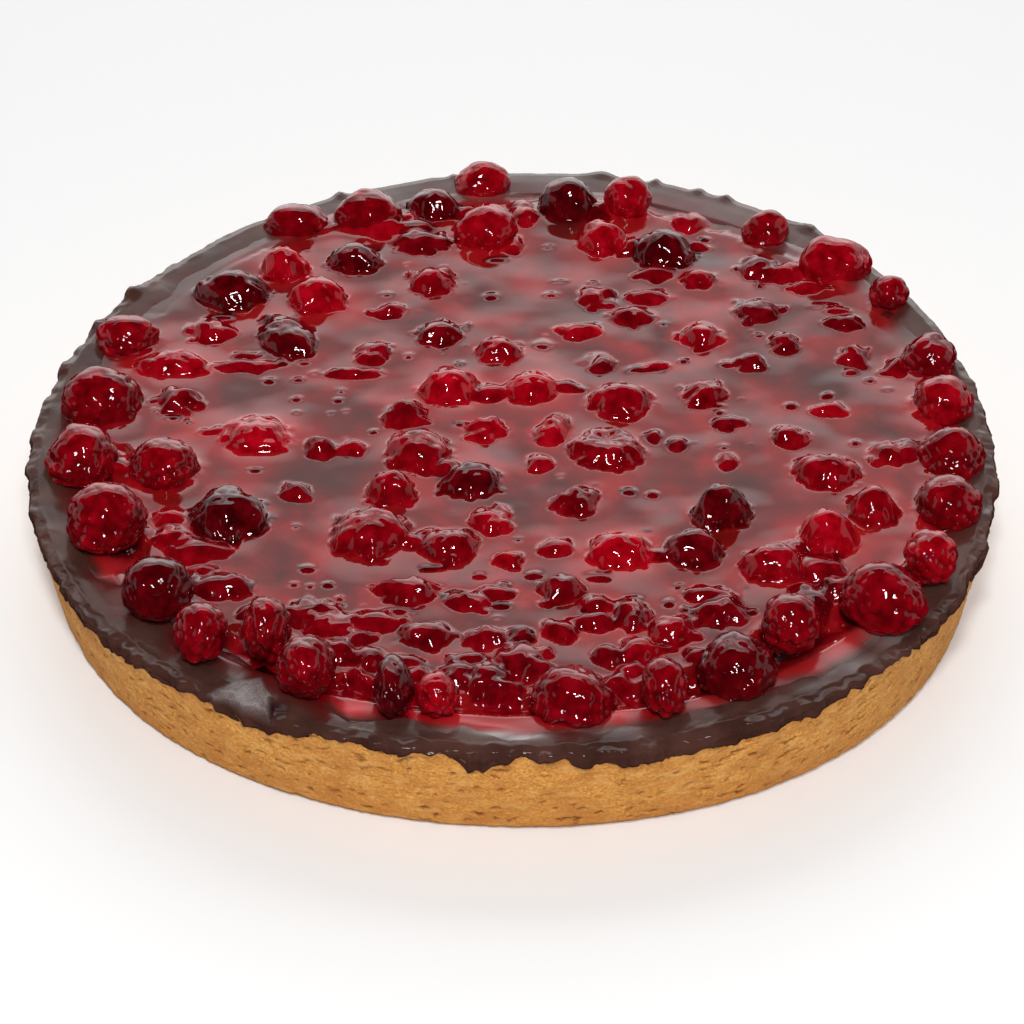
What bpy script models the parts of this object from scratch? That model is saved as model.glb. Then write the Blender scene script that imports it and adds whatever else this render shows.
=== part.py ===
"""Raspberry tart: a round pastry shell coated with chocolate, with raspberries set in red jelly.

Metres, +Z up. The origin is the middle of the flat base, and the front of the tart faces -Y.
"""
import math
import random

import bmesh
import bpy
from mathutils import Matrix, Vector, noise

MM = 0.001

# Driving dimensions
RIM_RADIUS = 130 * MM
RIM_HEIGHT = 28.2 * MM
WALL_TAPER = 4.4 * MM
WALL_THICKNESS = 8.5 * MM
FLOOR_HEIGHT = 13 * MM
BED_HEIGHT = 19.7 * MM
BED_RADIUS = 104 * MM
BANK_RADIUS = 117 * MM
BANK_HEIGHT = 27.4 * MM
SHOULDER_RADIUS = 123 * MM
SHOULDER_HEIGHT = 28.6 * MM
CREST_RADIUS = 127.6 * MM
COAT_THICKNESS = 1.5 * MM
COAT_WAVE = 0.7 * MM
LIP_THICKNESS = 1.0 * MM
JELLY_LEVEL = 28.7 * MM
JELLY_RADIUS = 115 * MM
JELLY_WAVE = 0.7 * MM
BERRY_FLOOR = 22 * MM
RIM_BERRY_FLOOR = 27.6 * MM
GAP = 0.3 * MM

SEGMENTS = 72
JELLY_GRID = 9 * MM
PROUD_RISE = 6.8
PROUD_CELLS = (10, 5)
LOW_CELLS = (8, 4)
SEED = 26

# Room left round a berry: its facets lie inside its curve, so it is a little more than the gap
POCKET_SWELL = 1.4 * GAP
# The jelly's sloping foot keeps the gap square to the slope
FOOT_GAP = 1.5 * GAP
BANK_GAP = 2.5 * GAP
CUTTER_TOP = JELLY_LEVEL + 12 * MM
CUTTER_FOOT = BED_HEIGHT - 10 * MM

# How far the tart is out of round: number of lobes, then cosine and sine share of the radius
OUT_OF_ROUND = ((2, -0.009, 0.002), (3, -0.009, -0.010), (4, -0.007, 0.0))

# Lower edge of the chocolate on the outside of the shell: degrees from +X, height in millimetres
CHOCOLATE_EDGE = (
    (0, 26.8), (20, 25.5), (45, 26.4), (80, 25.0), (110, 26.2), (150, 25.2), (180, 25.8),
    (202, 24.5), (217, 24.5), (224, 25.0), (230, 26.8), (234, 27.2), (239, 25.2), (244, 25.4),
    (250, 27.9), (257, 26.4), (261, 27.6), (265, 22.6), (269, 27.6), (276, 24.6), (285, 24.2),
    (289, 26.0), (294, 25.5), (300, 26.5), (305, 27.2), (310, 27.9), (315, 27.4), (320, 25.3),
    (325, 26.5), (331, 23.0), (338, 22.0), (345, 26.0), (351, 28.0), (358, 28.0), (360, 26.8),
)

# Raspberries, in millimetres: x, y, half width, half length, rise above the jelly, turn in degrees
BERRIES = (
    # Far rim and behind it
    (-9.7, 123, 8.8, 7, 7.6, 0), (-43, 105.3, 10.4, 9.8, 8.6, 0), (-64.2, 101.6, 10.2, 7.9, 7.2, 0),
    (-23.3, 109.6, 8.6, 7.2, 6.5, 0), (-8.2, 95.2, 9.7, 9.5, 9.6, 0), (16.1, 109.4, 9.3, 9.3, 10.6, 0),
    (34, 109.3, 7.4, 7.3, 10.2, 0), (-46.3, 80.8, 8.1, 6.5, 5.9, 0),
    (-66.9, 76.6, 6.9, 6.9, 8, 0), (-80.2, 64.2, 11, 8, 7.5, 0), (-56, 61, 8.7, 8, 7, 0),
    (73.7, 93.4, 7.2, 7, 8.8, 0), (92.3, 75.8, 11.4, 9.5, 10, 0), (106.3, 58.8, 5.9, 6, 8.5, 0),
    (25.8, 91.6, 7.9, 7.3, 6.6, 0), (43.5, 84, 9.3, 8, 7.8, 0),
    # Left
    (-108.3, 41.2, 9.2, 8, 7.8, 0), (-94, 29, 10.5, 6, 4.5, 0), (-63.5, 42, 8, 11, 5, 35),
    (-112.3, 10.9, 11.5, 10.8, 10.8, 0), (-114, -15.1, 10.3, 10.3, 11, 0), (-104.6, -45, 10.7, 10.7, 14.6, 0),
    (-92.6, -18.5, 9.7, 9.4, 9.1, 0), (-69, -4, 9.5, 8.5, 4.5, 0), (-74, -40, 11, 10.5, 8.5, 0),
    # Middle
    (-18, 16.7, 8.7, 8.2, 6.8, 0), (4.8, 16.5, 8.6, 7.5, 5, 0), (28.8, 10.5, 8.7, 7.7, 5.5, 0),
    (24, -11, 10, 9, 5.5, 0), (-26, -12, 8.6, 8.8, 6.5, 0), (-11.6, -25, 8.6, 7.8, 5.5, 0),
    (-33, -29, 6.7, 6.5, 7, 0), (-37, -47, 10, 9.7, 7, 0), (-16.3, -51.3, 8.2, 6.6, 4.8, 0),
    (26, -54.7, 9, 7.5, 5.8, 0), (45, -54, 8, 7, 6, 0), (53, -39, 7.5, 7, 9.5, 0),
    (81, -22, 9.5, 7.5, 5.5, 0), (92.3, -37.3, 7, 7, 7, 0), (79, -50, 7.6, 7, 9.7, 0),
    (64.5, -61, 8.5, 7.5, 7, 0),
    # Right
    (114.5, 28.2, 8.2, 8.2, 8.2, 0), (115.5, 7.6, 8.9, 8.9, 8.8, 0), (114.6, -15.8, 9.7, 9.8, 9.6, 0),
    (111.4, -37.4, 9.3, 9.4, 9.8, 0), (103.2, -64.2, 7, 7.4, 13.4, 0),
    # Front
    (-88.9, -74, 9.6, 9.7, 14, 0), (-60.8, -89, 6.2, 8.4, 13.4, 0), (-76.8, -91.4, 7, 7.6, 14.2, 0),
    (-50.5, -104.2, 7.4, 8, 14.2, 0), (-29.6, -110.4, 4.9, 8.6, 11.4, 0), (-19.1, -112.6, 5.4, 5.8, 9.8, 0),
    (13.2, -111.2, 10.6, 9.8, 9.4, 0), (34.8, -110.8, 6, 8.2, 12, 0), (52.5, -101, 10.2, 10.3, 10, 0),
    (66.6, -89, 7.7, 8.2, 14, 0), (90.2, -78.3, 11.1, 11, 13.8, 0),
)

# Numbers of the darker berries in the list above
DARK_BERRIES = (4, 6, 8, 10, 16, 19, 25, 31, 36, 37, 47, 51, 55)

# Berries that barely break the jelly, in millimetres: x, y, half width, half length, rise
SUNKEN = (
    (3, 105, 5, 8, 5), (-27, 91, 9, 6, 4), (-39, 99, 7, 6, 4), (52, 102, 6, 6, 5), (-24, 70, 7, 7, 5.5),
    (71, 76, 6, 7, 5), (-85, 46, 7, 6, 3.5), (-39, 35, 6, 6, 3), (-45, 25, 11, 3, 2), (-21, 44, 7, 6, 5),
    (-4, 35, 7, 7, 5), (18, 45, 7, 4, 3), (33, 52, 7, 5, 3), (22, 62, 4, 6, 3), (38, 62, 6, 4, 2.5),
    (52, 42, 6, 6, 5), (68, 54, 7, 6, 3.5), (75, 38, 5, 5, 3.5), (93, 48, 6, 4, 3), (94, 32, 5, 5, 3),
    (65, 29, 5, 5, 3), (51, 14, 7, 6, 4.5), (-92, 13, 7, 6, 4), (-30, 5, 7, 6.5, 4.5), (10, -3, 5, 7, 5),
    (-52, -9, 5, 5, 4), (-43, -9, 4, 4, 3), (-8, -1, 6.5, 5, 4), (6, -17, 4, 4.5, 4), (73, -6, 6, 5.5, 4),
    (98, -14, 6, 5.5, 3.5), (16, -33, 6.5, 6, 4), (-7, -42, 6, 6, 5), (57, 1, 6, 3, 2), (85, 7, 6, 3, 2.5),
    (56, -16, 4, 4, 2), (-57, -28, 4.5, 4.5, 3), (-72, -67, 7, 5, 3.5), (-27, -69, 9, 5.5, 3.5),
    (-44, -83, 10, 7, 3), (11, -69, 6, 6, 4.5), (11, -85, 6, 4.5, 4), (28, -79, 5.5, 7, 5),
    (38, -86, 6.5, 6.5, 5), (-22, -86, 8, 5.5, 4), (-7, -87, 6.5, 4.5, 3.5), (-7, -103, 7, 6.5, 5),
    (50, -78, 9, 6, 3.5), (22, -94, 4.5, 5, 4.5), (74, -75, 6, 6, 3.5), (-85, -50, 5, 4, 4),
    (-12, -73, 8, 4, 2), (-2, -57, 4, 4, 4), (10, -52, 5, 5, 2.5),
)


def out_of_round(angle):
    """Radius share at an angle, because the shell is not a perfect circle."""
    return 1 + sum(c * math.cos(n * angle) + s * math.sin(n * angle) for n, c, s in OUT_OF_ROUND)


def wall_radius(height):
    """Radius of the plain outer wall, which leans outwards."""
    return RIM_RADIUS - WALL_TAPER * max(0.0, 1 - height / RIM_HEIGHT)


def ripple(x, y, z, size, depth):
    """Smooth unevenness with bumps of about the given size."""
    return depth * noise.noise(Vector((x, y, z)) / size)


def chocolate_edge(angle):
    """Height of the chocolate's ragged lower edge at an angle."""
    degrees = math.degrees(angle) % 360
    for (start, low), (end, high) in zip(CHOCOLATE_EDGE, CHOCOLATE_EDGE[1:]):
        if degrees <= end:
            share = (degrees - start) / (end - start)
            return (low + (high - low) * share) * MM
    return CHOCOLATE_EDGE[0][1] * MM


def crust_section(angle):
    """Pastry shell from the middle of its floor, over the rim and down to the base."""
    inner = RIM_RADIUS - WALL_THICKNESS
    wall = []
    for share in (0.96, 0.78, 0.54, 0.29, 0.05):
        height = RIM_HEIGHT * share
        pit = abs(ripple(math.cos(angle) * 40, math.sin(angle) * 40, height / MM, 3.0, 0.5 * MM))
        wall.append((wall_radius(height) - pit, height))
    return [
        (0, FLOOR_HEIGHT), (inner - 1.5 * MM, FLOOR_HEIGHT), (inner, FLOOR_HEIGHT + 8 * MM),
        (RIM_RADIUS - 2.4 * MM, RIM_HEIGHT), (RIM_RADIUS - 1.0 * MM, RIM_HEIGHT), *wall,
        (RIM_RADIUS - WALL_TAPER - 1.5 * MM, 0), (0, 0),
    ]


def chocolate_section(angle):
    """Chocolate from the middle of its bed, over the rim, down to its lip and back underneath."""
    edge = chocolate_edge(angle)
    inner = RIM_RADIUS - WALL_THICKNESS
    top = RIM_HEIGHT + COAT_THICKNESS
    wave = ripple(math.cos(angle) * 9, math.sin(angle) * 9, 0, 1.0, COAT_WAVE)
    lip = wall_radius(edge) + GAP
    return [
        (0, BED_HEIGHT), (BED_RADIUS, BED_HEIGHT), (BANK_RADIUS, BANK_HEIGHT + wave),
        (SHOULDER_RADIUS, SHOULDER_HEIGHT + wave), (CREST_RADIUS, top + wave / 2),
        (RIM_RADIUS + GAP, top - 0.8 * MM),
        (RIM_RADIUS + LIP_THICKNESS + GAP, max(top - 2.2 * MM, edge + 0.4 * MM)),
        (lip + LIP_THICKNESS, edge), (lip, edge), (RIM_RADIUS + GAP, max(RIM_HEIGHT - 1.2 * MM, edge + GAP)),
        (RIM_RADIUS - 0.7 * MM, RIM_HEIGHT + GAP), (RIM_RADIUS - 2.6 * MM, RIM_HEIGHT + GAP),
        (inner - 0.4 * MM, FLOOR_HEIGHT + 8 * MM), (inner - 1.9 * MM, FLOOR_HEIGHT + GAP),
        (0, FLOOR_HEIGHT + GAP),
    ]


def jelly_section(angle):
    """Space that the jelly may fill above the chocolate, taller than the jelly itself."""
    edge = JELLY_RADIUS + ripple(math.cos(angle) * 3, math.sin(angle) * 3, 5, 1.0, 3 * MM)
    slope = (BANK_HEIGHT - BED_HEIGHT) / (BANK_RADIUS - BED_RADIUS)
    return [
        (0, CUTTER_TOP), (edge, CUTTER_TOP), (edge, BED_HEIGHT + slope * (edge - BED_RADIUS) + BANK_GAP),
        (BED_RADIUS, BED_HEIGHT + FOOT_GAP), (0, BED_HEIGHT + FOOT_GAP),
    ]


def make_material(name, colour, roughness):
    """Plain shader in one colour."""
    material = bpy.data.materials.new(name)
    material.use_nodes = True
    shader = material.node_tree.nodes["Principled BSDF"]
    shader.inputs["Base Color"].default_value = (*colour, 1)
    shader.inputs["Roughness"].default_value = roughness
    shader.inputs["Metallic"].default_value = 0
    material.diffuse_color = (*colour, 1)
    return material


def make_object(name, mesh, collection, material=None):
    """Put a mesh in a collection as a named object."""
    obj = bpy.data.objects.new(name, mesh)
    collection.objects.link(obj)
    if material:
        mesh.materials.append(material)
    return obj


def lofted_mesh(name, section_at, segments=SEGMENTS):
    """Join the sections around the axis into one closed body; each starts and ends on the axis."""
    mesh = bpy.data.meshes.new(name)
    build = bmesh.new()
    rings = []
    for step in range(segments):
        angle = math.tau * step / segments
        stretch = out_of_round(angle)
        points = section_at(angle)
        rings.append([
            build.verts.new((r * stretch * math.cos(angle), r * stretch * math.sin(angle), z))
            for r, z in points[1:-1]
        ])
    first = build.verts.new((0, 0, points[0][1]))
    last = build.verts.new((0, 0, points[-1][1]))
    for here, after in zip(rings, rings[1:] + rings[:1]):
        build.faces.new((first, here[0], after[0]))
        for (a, b), (c, d) in zip(zip(here, here[1:]), zip(after, after[1:])):
            build.faces.new((a, b, d, c))
        build.faces.new((last, after[-1], here[-1]))
    bmesh.ops.recalc_face_normals(build, faces=build.faces)
    bmesh.ops.triangulate(build, faces=build.faces)
    build.to_mesh(mesh)
    build.free()
    mesh.shade_smooth()
    mesh.set_sharp_from_angle(angle=math.radians(40))
    return mesh


def berry_mesh(name, berry, lumps, swell=0.0):
    """Lumpy berry with a rounded foot; swell makes it larger all round."""
    x, y, width, length, rise, turn = berry
    middle = JELLY_LEVEL + max(min(0.15 * rise, 2), rise - (width + length) / 2) * MM
    above = JELLY_LEVEL + rise * MM - middle + swell
    reach = math.hypot(x, y) * MM + max(width, length) * MM
    foot = min(RIM_BERRY_FLOOR, BERRY_FLOOR + max(0.0, reach - JELLY_RADIUS + 2 * MM))
    below = middle - foot + swell
    around, down = PROUD_CELLS if rise > PROUD_RISE else LOW_CELLS
    build = bmesh.new()
    bmesh.ops.create_uvsphere(build, u_segments=around, v_segments=down, radius=1)
    for vert, lump in zip(build.verts, lumps):
        taper = 1 - 0.12 * max(0.0, vert.co.z)
        vert.co.xy *= lump * taper
        vert.co.z *= above if vert.co.z > 0 else below
    widest = max(abs(vert.co.x) for vert in build.verts)
    longest = max(abs(vert.co.y) for vert in build.verts)
    size = ((width * MM + swell) / widest, (length * MM + swell) / longest, 1)
    bmesh.ops.scale(build, vec=size, verts=build.verts)
    bmesh.ops.transform(build, matrix=Matrix.Rotation(math.radians(turn), 4, "Z"), verts=build.verts)
    bmesh.ops.translate(build, vec=(x * MM, y * MM, middle), verts=build.verts)
    mesh = bpy.data.meshes.new(name)
    build.to_mesh(mesh)
    build.free()
    mesh.shade_smooth()
    return mesh


def make_berries(collection, pockets, red, dark):
    """Every raspberry, each with a slightly larger copy that makes its pocket."""
    draw = random.Random(SEED)
    for number, berry in enumerate(BERRIES, 1):
        lumps = [draw.uniform(0.92, 1.0) for _ in range(PROUD_CELLS[0] * PROUD_CELLS[1])]
        name = f"berry_{number:02d}"
        material = dark if number in DARK_BERRIES else red
        make_object(name, berry_mesh(name, berry, lumps), collection, material)
        make_object(f"pocket_{number:02d}", berry_mesh(name, berry, lumps, POCKET_SWELL), pockets)


def cut_pockets(obj, pockets):
    """Take the berries' pockets out of a body."""
    cut = obj.modifiers.new("pockets", "BOOLEAN")
    cut.operation = "DIFFERENCE"
    cut.operand_type = "COLLECTION"
    cut.collection = pockets
    cut.solver = "EXACT"


def jelly_height(x, y):
    """Height of the jelly's top: gentle waves, and a bump over each sunken berry."""
    height = JELLY_LEVEL + ripple(x, y, 0, 22 * MM, JELLY_WAVE)
    for bx, by, width, length, rise in SUNKEN:
        far = math.hypot((x / MM - bx) / (1.3 * width), (y / MM - by) / (1.3 * length))
        if far < 1:
            height = max(height, JELLY_LEVEL + rise * MM * math.cos(far * math.pi / 2) ** 2)
    return height


def make_jelly(collection, guides, pockets, material):
    """Jelly up to its uneven top, inside the chocolate and round the berries."""
    cells = 2 * math.ceil(JELLY_RADIUS * 1.03 / JELLY_GRID)
    slab = bmesh.new()
    bmesh.ops.create_grid(slab, x_segments=cells, y_segments=cells, size=cells * JELLY_GRID / 2)
    for vert in slab.verts:
        vert.co.z = jelly_height(vert.co.x, vert.co.y)
    bmesh.ops.triangulate(slab, faces=slab.faces)
    walls = bmesh.ops.extrude_face_region(slab, geom=slab.faces[:])
    for vert in (item for item in walls["geom"] if isinstance(item, bmesh.types.BMVert)):
        vert.co.z = CUTTER_FOOT
    bmesh.ops.recalc_face_normals(slab, faces=slab.faces)
    mesh = bpy.data.meshes.new("jelly")
    slab.to_mesh(mesh)
    slab.free()
    jelly = make_object("jelly", mesh, collection, material)
    space = make_object("jelly_space", lofted_mesh("jelly_space", jelly_section), guides)
    fill = jelly.modifiers.new("fill", "BOOLEAN")
    fill.operation = "INTERSECT"
    fill.object = space
    fill.solver = "EXACT"
    cut_pockets(jelly, pockets)


def middle_of_outline():
    """Middle of the rim's outline, which is off the axis because the shell is out of round."""
    angles = [math.tau * step / SEGMENTS for step in range(SEGMENTS)]
    xs = [RIM_RADIUS * out_of_round(angle) * math.cos(angle) for angle in angles]
    ys = [RIM_RADIUS * out_of_round(angle) * math.sin(angle) for angle in angles]
    return Vector(((min(xs) + max(xs)) / 2, (min(ys) + max(ys)) / 2, 0))


def make_collection(name):
    """A collection linked to the scene."""
    collection = bpy.data.collections.new(name)
    bpy.context.scene.collection.children.link(collection)
    return collection


def hide(collection):
    """Show cutters and guides as wires only."""
    for obj in collection.objects:
        obj.hide_render = True
        obj.display_type = "WIRE"


def main():
    for obj in list(bpy.data.objects):
        bpy.data.objects.remove(obj, do_unlink=True)
    tart = make_collection("raspberry_tart")
    pockets = make_collection("pockets")
    guides = make_collection("guides")

    crust = make_material("baked_crust", (0.56, 0.30, 0.10), 0.8)
    chocolate = make_material("dark_chocolate", (0.045, 0.020, 0.014), 0.25)
    jelly = make_material("red_jelly", (0.22, 0.008, 0.018), 0.1)
    berry_red = make_material("raspberry_red", (0.38, 0.004, 0.012), 0.2)
    berry_dark = make_material("raspberry_dark", (0.14, 0.002, 0.008), 0.2)

    make_object("crust", lofted_mesh("crust", crust_section), tart, crust)
    coat = make_object("chocolate", lofted_mesh("chocolate", chocolate_section), tart, chocolate)
    make_berries(tart, pockets, berry_red, berry_dark)
    cut_pockets(coat, pockets)
    make_jelly(tart, guides, pockets, jelly)

    centre = Matrix.Translation(-middle_of_outline())
    for obj in bpy.data.objects:
        obj.data.transform(centre)
    hide(pockets)
    hide(guides)


main()
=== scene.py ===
"""Looks of the raspberry tart: glazed raspberries in red jelly, in a chocolate-coated pastry shell.

Lengths in the tables are millimetres, measured from the axis of the tart's round outline.
"""

import math
import random

import bmesh
import bpy
import numpy as np
from mathutils import Matrix, Vector, noise


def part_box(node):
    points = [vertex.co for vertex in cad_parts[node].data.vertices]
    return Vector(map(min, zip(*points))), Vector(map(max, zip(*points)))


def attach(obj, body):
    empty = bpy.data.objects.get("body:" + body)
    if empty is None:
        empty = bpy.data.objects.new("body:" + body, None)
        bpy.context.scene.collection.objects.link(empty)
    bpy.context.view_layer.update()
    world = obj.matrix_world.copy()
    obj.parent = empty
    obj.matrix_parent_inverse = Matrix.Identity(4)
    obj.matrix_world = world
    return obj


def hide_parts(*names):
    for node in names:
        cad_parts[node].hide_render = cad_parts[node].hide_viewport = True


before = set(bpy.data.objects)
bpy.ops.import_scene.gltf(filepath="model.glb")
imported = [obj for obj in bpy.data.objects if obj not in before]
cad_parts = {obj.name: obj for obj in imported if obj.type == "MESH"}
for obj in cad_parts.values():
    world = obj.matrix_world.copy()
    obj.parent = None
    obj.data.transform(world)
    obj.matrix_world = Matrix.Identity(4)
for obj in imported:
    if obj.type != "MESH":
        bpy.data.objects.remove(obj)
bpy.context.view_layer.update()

MM = 0.001
# Seeds of the random draws
TONE_SEED, LUMP_SEED, BERRY_SEED, PIT_SEED, RIM_SEED = 3, 5, 11, 17, 29

# The shell and its chocolate, as the solids have them
RIM_RADIUS = 130.0
RIM_HEIGHT = 28.2
WALL_TAPER = 4.4
BED_RADIUS = 104.0
BED_HEIGHT = 19.7
BANK_RADIUS = 117.0
BANK_HEIGHT = 27.4
SHOULDER_RADIUS = 123.0
SHOULDER_HEIGHT = 28.6
CREST_RADIUS = 127.6
COAT_THICKNESS = 1.5
LIP_THICKNESS = 1.0
# How far the tart is out of round: number of lobes, then cosine and sine share of the radius
OUT_OF_ROUND = ((2, -0.009, 0.002), (3, -0.009, -0.010), (4, -0.007, 0))

# Finer form of the shell and its chocolate; spans count the rings between the knots of the coat's section
CRUST_AROUND, CRUST_ROWS = 1400, 68
PIT_COUNT, PIT_DEPTH = 950, 0.7
COAT_AROUND = 1300
COAT_SPANS = (6, 8, 8, 7, 6, 6, 3, 2)

# The jelly
JELLY_LEVEL = 28.7
JELLY_FOOT = 20.6
JELLY_STEP = 0.74
SHORE_WIDTH = 8.0
SHORE_LIMIT = 126.5
BRINK_WIDTH = 6.0
FILM_UNDER = 0.45
MENISCUS_RISE = 0.9
MENISCUS_REACH = 1.1
SWELL_RISE = 0.55
SWELL_REACH = 4.5
WEB_RISE = 4.0
WEB_REACH = 1.6
GLAZE_FILLET = 1.0
GLAZE_UNDER = 0.10
LUMP_SLOPE = 0.62

# The raspberries: their drupelets' size, how deep the crevices and a low berry's beads are, and balls' segments
BERRY_COUNT = 57
DRUPELET = 3.7
CREVICE = 1.8
DOME_RELIEF = 0.40
FINE_BALL, COARSE_BALL = (96, 48), (80, 40)

# Unevenness, as layers of noise: height, size of the bumps, shift of the noise
LEVEL_NOISE = ((0.7, 19, 0), (0.15, 8, 0))
BRINK_NOISE = ((2.8, 7, 0), (1.4, 3, 0))
SHORE_NOISE = ((1, 1, 0), (0.6, 0.35, 0))
LUMP_NOISE = ((0.8, 3.6, 40), (0.25, 1.7, 80))
DOME_NOISE = ((0.55, 5, 0), (0.10, 2.2, 0))
DOME_OUTLINE_NOISE = ((0.22, 7, 0), (0.16, 2.8, 30))
EDGE_NOISE = ((1.8, 4.5, 0), (0.6, 1.8, 0))
EDGE_FINE_NOISE = ((0.7, 1.7, 0), (0.45, 1, 9))
LIP_NOISE = ((0.4, 3.2, 90), (0.8, 7, 70), (0.3, 1.3, 11))
DROOP_NOISE = ((0.35, 4.5, 30), (0.22, 2.2, 5))
CRUST_NOISE = ((0.30, 9, 0), (0.20, 1.3, 0))

# Where the full depth of the jelly ends: degrees from +X, radius
BRINK = (
    (0, 116), (14, 117), (40, 117), (60, 116), (90, 116), (120, 116), (150, 117), (180, 115), (203, 113),
    (212, 112), (220, 114), (232, 114), (244, 114), (255, 113), (268, 112), (277, 112), (287, 114),
    (297, 112), (307, 110), (319, 116), (328, 118), (341, 117), (352, 116), (360, 116),
)
# How far its thin film runs on over the chocolate
SHORE = (
    (0, 120), (20, 120), (60, 118), (90, 118), (120, 118), (150, 119), (180, 117), (200, 117), (207, 123),
    (211, 123), (216, 116), (225, 116), (237, 117), (246, 120), (251, 124), (257, 121), (263, 124),
    (269, 125), (276, 124), (283, 124), (292, 123), (299, 124), (306, 127), (313, 126), (322, 122),
    (335, 121), (360, 120),
)
# Lumps on the chocolate's outline: degrees from +X, half width along the rim, how far it stands out
RIM_LUMPS = (
    (48, 5, 1.2), (61, 2, 0.9), (65, 2, 0.8), (71, 1.6, 0.8), (78, 4, 0.7), (98, 1.5, 0.6), (114, 2.4, 1),
    (123, 2.4, 1), (149, 3, 1.3), (157, 3, 1.2), (167, 3, 1.1), (174, 2.5, 1), (181, 3, 1.2),
    (187, 3, 1.2), (195, 2.5, 0.8), (327, 4, 0.9), (336, 3, 1.1), (348, 4, 1.2), (8, 3, 0.8), (212, 4, 0.8),
    (221, 2, 0.6), (273.5, 2.2, 1.1), (281, 1.6, 1.3), (284, 1.6, 1.1),
)
# A fold in the chocolate: its corners, its height at the first and how it rises along X and Y
FOLD = ((-61.9, -101.2), (-66.8, -102.4), (-74.4, -107.6), (-67.8, -112), (-59, -116.8), (-59.2, -109.6))
FOLD_RISE = (28.9, 0.05, -0.15)
# A hollow beside it, dented and darkened with painted shade: x, y, half width, half length
FOLD_HOLLOW = (-57.6, -112.6, 2.6, 2.6)
# Lower edge of the chocolate in front: first azimuth, step, both in degrees, then its heights
EDGE_START = 216.0
EDGE_STEP = 1.25
EDGE = (
    23.8, 23, 22.6, 22.9, 23.9, 23.8, 23.2, 24.1, 25.9, 24.8, 24.4, 25.1, 25.9, 26.3, 26.6, 25.6, 26,
    23.9, 23, 24.1, 23.6, 23.3, 24.2, 23.9, 25, 25.7, 27.6, 28, 27.8, 27.5, 26.8, 26, 25.7, 25.9,
    26.8, 27.8, 27.9, 28, 25.3, 21.8, 22.3, 24.1, 25.7, 27.8, 27.4, 26.5, 26, 27.4, 24.2, 23.8, 24.4,
    24.7, 23.1, 22.9, 23.2, 23.8, 22.8, 23.8, 23.6, 25, 24.4, 23.5, 24.5, 23.8, 24.4, 24.7, 24.8, 25.6,
    24.5, 24.1, 25.1, 26.3, 26.2, 26.9, 26.1, 27.8, 28, 28, 28, 27.6, 26.9, 26.6, 25.1, 24.5, 24.1,
    24.7, 26, 26.3, 24.4,
)

# The camera: angles in degrees, its distance in millimetres, the rest in pixels of the 1024 pixel picture
PICTURE = 1024
CAMERA_ELEVATION = 38.0
CAMERA_DISTANCE = 789.0
CAMERA_FOCAL = 2874.0
CAMERA_ROLL = -0.42
CAMERA_CENTRE = (516.2, 511.5)

# Raspberries lying or standing with their point towards a direction: azimuth from +X, elevation, degrees
POINTS = {5: (250, 75), 7: (270, 70), 46: (250, 70), 48: (270, 80), 49: (260, 75), 54: (270, 75)}
# Raspberries turned about the vertical in the solids: degrees, half width, half length
TURNED = {19: (35, 8, 11)}
# Redness of the flesh, from dark to bright, and the raspberries that differ
BRIGHT_TONE, PLAIN_TONE, DARK_TONE = 1, 0.55, 0.08
BRIGHT = (1, 5, 7, 9, 11, 13, 15, 18, 24, 26, 27, 35, 40, 43, 46, 52)
DARK = (4, 6, 8, 10, 16, 19, 25, 31, 36, 37, 47, 51, 55)
# A raspberry open at the top, and the hollow in it: x, y, half width, half length
TORN = (29,)
TEAR = (0, 1, 5, 3.8)
# Raspberries that the glaze has nearly covered: they show as low domes
LOW = (4, 8, 9, 10, 11, 15, 16, 18, 19, *range(24, 42))
# Beyond the first line berries look smoother, and nearer than the second sunken ones are darker
FAR_Y, NEAR_Y = 60, -60

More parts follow.
